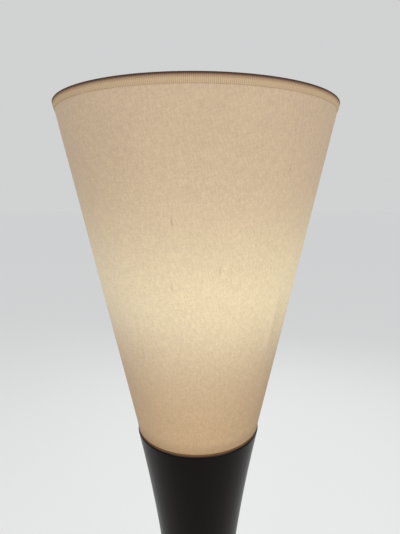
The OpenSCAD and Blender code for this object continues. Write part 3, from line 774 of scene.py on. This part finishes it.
def flare(near, far, size=0.32):
    # a wire that thickens into its welds at one or both ends
    def swell(t):
        start = math.exp(-t / near) if near else 0
        end = math.exp(-(1 - t) / far) if far else 0
        return 1 + size * (start + end)
    return swell


def buildSpider():
    hubLow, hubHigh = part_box("spider_washer")
    ringLow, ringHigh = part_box("shade_top_ring")
    wireR = (ringHigh.z - ringLow.z) / 2
    level = hubLow.z + spider["wireRadius"]
    hubR = hubHigh.x
    ringR = ringHigh.x - wireR
    end = Vector((ringR - wireR * 0.6, 0, ringLow.z + wireR - wireR - spider["wireRadius"] * 0.5))
    bend = Vector((end.x - spider["bendReach"], 0, level))
    start = Vector((bend.x - 14 * mm, 0, level))
    path = [Vector((hubR - 0.4 * mm + (start.x - hubR) * i / 12, 0, level)) for i in range(12)]
    path += bezier(start, bend, bend + Vector((8 * mm, 0, 8 * mm)), end, 14)
    arms = []
    for i in range(spider["arms"]):
        turn = math.radians(spider["firstTurn"] + 360 * i / spider["arms"])
        spin = Matrix.Rotation(turn - math.pi / 2, 3, "Z")
        arms.append(loft(f"arm{i}", [
            [spin @ p for p in ring] for ring in wireRings(path, spider["wireRadius"], 20, flare(0.012, 0.012))
        ]))
    return place(joinPieces("spiderWires", arms), "shade", "steel", "spider_arms")


shadePieces = {"cloth": buildCloth(), "tape": buildTape(), "hem": buildHem()}
spiderWires = buildSpider()
print("shade built:", len(shadePieces["cloth"].data.vertices), "points in the cloth")


# ---- the finial ----

finial = {"waist": 3.6 * mm, "knurls": 48, "knurlDepth": 0.22 * mm}


def buildFinial():
    low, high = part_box("finial")
    ballR = (high.x - low.x) / 2
    ballZ = high.z - ballR
    base = low.z
    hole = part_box("harp_stud")[1].z + 1.6 * mm
    outline = [(0, hole), (3.3 * mm, hole), (3.3 * mm, base + 0.3 * mm), (3.7 * mm, base)]
    outline += [(7.4 * mm, base), (7.9 * mm, base + 0.5 * mm), (7.9 * mm, base + 1.9 * mm), (7.4 * mm, base + 2.4 * mm)]
    outline += arcPoints((8.6 * mm, base + 5.6 * mm), 3.0 * mm, 250, 150, 8)
    outline += [(5.3 * mm, base + 8.2 * mm), (5.3 * mm, base + 12.2 * mm), (4.7 * mm, base + 12.9 * mm)]
    outline += arcPoints((0, ballZ), ballR - 0.05 * mm, -52, 90, 28)

    def knurl(turn, height, k):
        if base + 8.2 * mm <= height <= base + 12.2 * mm:
            return finial["knurlDepth"] * (math.cos(turn * finial["knurls"]) * 0.5)
        return 0

    outline[-1] = (0, outline[-1][1])
    made = revolve("finialKnob", outline, finial["knurls"] * 4, ripple=knurl, sharp=45)
    return place(made, "finial", "brass", "finial")


finialKnob = buildFinial()


# ---- the harp ----

harp = {
    "turn": -45,
    "wireRadius": 2 * mm,
    "halfWidth": 58 * mm,
    "widestShare": 0.46,    # of the height from saddle to seat
    "shoulder": 0.62,       # handles of the bow's curves
    "upperPull": 0.36,
    "lowerPull": 0.19,
    "kneePull": 0.15,
    "kneeRise": 36 * mm,
}


def buildHarp():
    eyeLow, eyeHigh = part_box("harp_eye")
    saddleLow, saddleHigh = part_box("harp_saddle")
    bowLow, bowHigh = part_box("harp_bow")
    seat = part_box("spider_washer")[0].z
    tall = seat - saddleLow.z
    eyeHalf = 7 * mm
    legX = legCentre()
    foot = Vector((legX, 0, bowLow.z))
    knee = Vector((legX, 0, bowLow.z + harp["kneeRise"]))
    wide = Vector((harp["halfWidth"], 0, saddleLow.z + harp["widestShare"] * tall))
    top = Vector((eyeHalf - 0.3 * mm, 0, (eyeLow.z + eyeHigh.z) / 2))
    path = bezier(
        top, top + Vector((harp["halfWidth"] * harp["shoulder"], 0, 0)),
        wide + Vector((0, 0, harp["upperPull"] * tall)), wide, 40
    )
    path += bezier(
        wide, wide - Vector((0, 0, harp["lowerPull"] * tall)),
        knee + Vector((0, 0, harp["kneePull"] * tall)), knee, 30, 1
    )
    path += [knee + (foot - knee) * i / 8 for i in range(1, 9)]
    rings = wireRings(path, harp["wireRadius"], 24, flare(0.010, 0))
    halves = []
    for side in (0, 180):
        spin = Matrix.Rotation(math.radians(harp["turn"] + side), 3, "Z")
        halves.append(loft(f"half{side}", [[spin @ p for p in ring] for ring in rings]))
    return place(joinPieces("harpWire", halves), "harp", "brass", "harp_bow")


def legCentre():
    # the ferrule's middle lies a little inside the leg it slides on
    low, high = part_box("ferrule_right")
    centre = (low + high) / 2
    return math.hypot(centre.x, centre.y) + 0.95 * mm


harpWire = buildHarp()
print("harp and finial built")


# ---- the bulb ----

thread = {"pitch": 3.63 * mm, "depth": 0.55 * mm}


def threadRipple(low, high, outward):
    # a rolled thread, carved in from a cap or pushed out from a shell
    def ripple(turn, height, k):
        if not low < height < high:
            return 0
        wave = 0.5 + 0.5 * math.cos(2 * math.pi * (height / thread["pitch"]) - turn)
        ease = min(1, (height - low) / (0.6 * thread["pitch"]), (high - height) / (0.6 * thread["pitch"]))
        return thread["depth"] * ease * (wave if outward else wave - 1)
    return ripple


def buildBulbCap():
    low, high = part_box("bulb_cap")
    reach = (high.x - low.x) / 2
    outline = [(reach - 4 * mm, low.z), (reach - 3 * mm, low.z), (reach - 1.2 * mm, low.z + 1.6 * mm)]
    steps = 56
    first = low.z + 2.6 * mm
    last = high.z - 3 * mm
    outline += [(reach, first + (last - first) * i / steps) for i in range(steps + 1)]
    outline += [(reach - 0.25 * mm, last + 0.6 * mm), (reach - 0.1 * mm, high.z - 0.3 * mm), (reach - 0.4 * mm, high.z)]
    outline += [(reach - 1.4 * mm, high.z), (reach - 1.4 * mm, low.z + 3 * mm), (reach - 4 * mm, low.z + 1.2 * mm)]
    turned = threadRipple(first, last, False)
    outside = 3 + steps + 1

    def ripple(turn, height, k):
        return turned(turn, height, k) if 3 <= k < outside else 0

    made = revolve("bulbThread", outline, 120, ring=True, ripple=ripple, sharp=50)
    return place(made, "bulb", "steel", "bulb_cap")


def buildScrewShell():
    low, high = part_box("screw_shell")
    reach = (high.x - low.x) / 2 - thread["depth"]
    wall = 0.35 * mm
    steps = 44
    rows = [low.z + 1.5 * mm + (high.z - low.z - 2.2 * mm) * i / steps for i in range(steps + 1)]
    outline = [(8.2 * mm, low.z), (reach - 0.8 * mm, low.z), (reach, low.z + 0.8 * mm)]
    outline += [(reach, z) for z in rows]
    outline += [(reach + 0.25 * mm, high.z), (reach + 0.1 * mm, high.z)]
    outline += [(reach - 0.02 * mm, z) for z in reversed(rows)]
    outline += [(reach - wall, low.z + 1.1 * mm), (reach - 1 * mm, low.z + wall), (8.2 * mm, low.z + wall)]
    ripple = threadRipple(rows[0], rows[-1], True)

    def wall_(turn, height, k):
        inside = k > 4 + steps
        return ripple(turn, height, k) - (wall * 0.6 if inside and rows[0] < height < rows[-1] else 0)

    made = revolve("screwShell", outline, 120, ring=True, ripple=wall_, sharp=50)
    return place(made, "stand", "brass", "screw_shell")


def buildGlobe():
    low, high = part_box("bulb_glass")
    reach = (high.x - low.x) / 2
    centre = high.z - reach
    neck = (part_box("bulb_cap")[1].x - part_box("bulb_cap")[0].x) / 2 + 0.5 * mm
    join = Vector((reach * math.cos(math.radians(40)), 0, centre - reach * math.sin(math.radians(40))))
    lean = Vector((math.sin(math.radians(40)), 0, math.cos(math.radians(40))))
    foot = Vector((neck, 0, low.z))
    flank = bezier(foot, foot + Vector((0, 0, 17 * mm)), join - lean * 15 * mm, join, 22)
    outer = [(p.x, p.z) for p in flank] + arcPoints((0, centre), reach, -40, 90, 40)[1:]
    outer[-1] = (0, outer[-1][1])
    outline = [(0, low.z), (neck - 0.8 * mm, low.z)] + outer
    return place(revolve("bulbGlobe", outline, 96, sharp=60), "bulb", "glass", "bulb_glass")


def buildFilament():
    # two leads that open out and the coil hung between them
    low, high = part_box("bulb_filament")
    half = 13 * mm
    level = high.z - 1 * mm
    spin = Matrix.Rotation(math.radians(harp["turn"]), 3, "Z")
    turns = 22
    coil = [
        Vector((
            -half + 2 * half * i / (turns * 10),
            0.75 * mm * math.cos(2 * math.pi * i / 10), level + 0.75 * mm * math.sin(2 * math.pi * i / 10)
        ))
        for i in range(turns * 10 + 1)
    ]
    parts = [loft("coil", [[spin @ p for p in ring] for ring in wireRings(coil, 0.16 * mm, 6)])]
    for side in (-1, 1):
        lead = bezier(
            Vector((side * 1.1 * mm, 0, low.z)), Vector((side * 2 * mm, 0, low.z + 6 * mm)),
            Vector((side * half, 0, level - 8 * mm)), Vector((side * half, 0, level)), 16
        )
        parts.append(loft(f"lead{side}", [[spin @ p for p in ring] for ring in wireRings(lead, 0.35 * mm, 10)]))
    return place(joinPieces("filamentCoil", parts), "bulb", "tungsten", "bulb_filament")


bulbPieces = [buildBulbCap(), buildGlobe(), buildFilament()]
screwShell = buildScrewShell()
print("bulb built")


# ---- the switch knob ----

knob = {"grooves": 5, "grooveDepth": 0.3 * mm, "halfWidth": 7 * mm, "halfThick": 2.6 * mm, "neck": 4.5 * mm}


def buildKnob():
    # a round hub that flattens into a ribbed paddle, built along the spindle's line
    low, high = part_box("switch_knob")
    out = Vector((1, 1, 0)).normalized()
    level = (low.z + high.z) / 2
    corner = max(math.hypot(high.x, low.y), math.hypot(low.x, high.y))
    far = math.sqrt(max(corner ** 2, 1e-9))
    reach = (high.x + high.y) / math.sqrt(2)
    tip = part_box("switch_spindle")[1]
    spindleEnd = (tip.x + tip.y) / math.sqrt(2)
    start = spindleEnd - 8.5 * mm
    length = 12 * mm
    rings = []
    steps = 30
    for i in range(steps + 1):
        t = i / steps
        open_ = max(0.0, min(1.0, (t - 0.2) / 0.18))
        open_ = open_ * open_ * (3 - 2 * open_)
        tipEase = math.sqrt(max(0.0, 1 - max(0.0, (t - 0.86) / 0.14) ** 2)) * 0.25 + 0.75
        wide = (knob["neck"] + (knob["halfWidth"] - knob["neck"]) * open_) * tipEase
        thick = (knob["neck"] + (knob["halfThick"] - knob["neck"]) * open_) * tipEase
        if 0.45 < t < 0.9:
            thick -= knob["grooveDepth"] * (0.5 - 0.5 * math.cos(2 * math.pi * knob["grooves"] * (t - 0.45) / 0.45))
        ring = []
        for k in range(40):
            a = 2 * math.pi * k / 40
            square = 1 - 0.45 * open_
            c, s = math.cos(a), math.sin(a)
            flatX = math.copysign(abs(c) ** square, c) * wide
            flatZ = math.copysign(abs(s) ** square, s) * thick
            side = Vector((out.y, -out.x, 0)) * flatX
            ring.append(out * (start + length * t) + side + Vector((0, 0, level + flatZ)))
        rings.append(ring)
    return place(loft("switchKey", rings, 50), "switch", "black_plastic", "switch_knob")


switchKey = buildKnob()
print("knob built")


# ---- stage and light ----

stageLook = {
    "floor": (0.55, 0.55, 0.54, 1),
    "floorShown": (0.31, 0.31, 0.31, 1),    # added for what the camera sees, and lights nothing
    "sky": (0.638, 0.643, 0.646, 1),
    "skyLight": 0.58,
    "halfWidth": 40,
}


def seenRays(tree):
    # 1 for rays that show the background, straight, in a gloss or through glass
    path = tree.nodes.new("ShaderNodeLightPath")
    total = path.outputs["Is Camera Ray"]
    for kind in ("Is Glossy Ray", "Is Transmission Ray"):
        either = tree.nodes.new("ShaderNodeMath")
        either.operation = "MAXIMUM"
        tree.links.new(total, either.inputs[0])
        tree.links.new(path.outputs[kind], either.inputs[1])
        total = either.outputs[0]
    return total


def addFloor():
    half = stageLook["halfWidth"]
    mesh = bpy.data.meshes.new("floor")
    mesh.from_pydata([(-half, -half, 0), (half, -half, 0), (half, half, 0), (-half, half, 0)], [], [[0, 1, 2, 3]])
    floor = bpy.data.objects.new("floor", mesh)
    bpy.context.scene.collection.objects.link(floor)
    finish = Finish("paleFloor")
    mottle = finish.noise(finish.place, 3.0, 3.0) * 0.3
    finish.surface({
        "Base Color": finish.mix(mottle, stageLook["floor"], dim(stageLook["floor"], 0.96)),
        "Emission Color": finish.mix(Link(finish, seenRays(finish.tree)), grey(0), stageLook["floorShown"]),
        "Emission Strength": 1.0,
        "Roughness": 0.8,
        "Specular IOR Level": 0.1,
    })
    mesh.materials.append(finish.material)


def addWorld():
    world = bpy.data.worlds.new("studio")
    bpy.context.scene.world = world
    world.use_nodes = True
    tree = world.node_tree
    light = tree.nodes["Background"]
    light.inputs["Color"].default_value = (0.95, 0.97, 1.0, 1)
    light.inputs["Strength"].default_value = stageLook["skyLight"]
    shown = tree.nodes.new("ShaderNodeBackground")
    shown.inputs["Color"].default_value = stageLook["sky"]
    pick = tree.nodes.new("ShaderNodeMixShader")
    tree.links.new(seenRays(tree), pick.inputs[0])
    tree.links.new(light.outputs[0], pick.inputs[1])
    tree.links.new(shown.outputs[0], pick.inputs[2])
    tree.links.new(pick.outputs[0], tree.nodes["World Output"].inputs[0])


def addLamp(name, where, target, size, power, colour):
    data = bpy.data.lights.new(name, "AREA")
    data.shape = "SQUARE"
    data.size = size
    data.energy = power
    data.color = colour
    lamp = bpy.data.objects.new(name, data)
    lamp.location = where
    lamp.rotation_euler = (Vector(target) - Vector(where)).to_track_quat("-Z", "Y").to_euler()
    bpy.context.scene.collection.objects.link(lamp)


def addBulbLight():
    low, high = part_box("bulb_glass")
    data = bpy.data.lights.new("bulbLight", "POINT")
    data.energy = 0.9
    data.color = (1.0, 0.74, 0.44)
    data.shadow_soft_size = 0.034
    lamp = bpy.data.objects.new("bulbLight", data)
    lamp.location = (0, 0, high.z + 0.04)
    bpy.context.scene.collection.objects.link(lamp)


addFloor()
addWorld()
middle = (0, 0, shadeBottom + 0.1)
addLamp("keyLight", (-1.65, -2.5, 2.9), middle, 2.0, 49, (1.0, 0.985, 0.96))
addLamp("fillLight", (1.9, -2.2, 1.8), middle, 1.8, 39, (1.0, 0.985, 0.96))
addLamp("backLight", (0.6, 2.6, 2.6), middle, 1.8, 26, (0.96, 0.98, 1.0))
addBulbLight()
bpy.context.scene.view_settings.view_transform = "Standard"
print("stage lit")
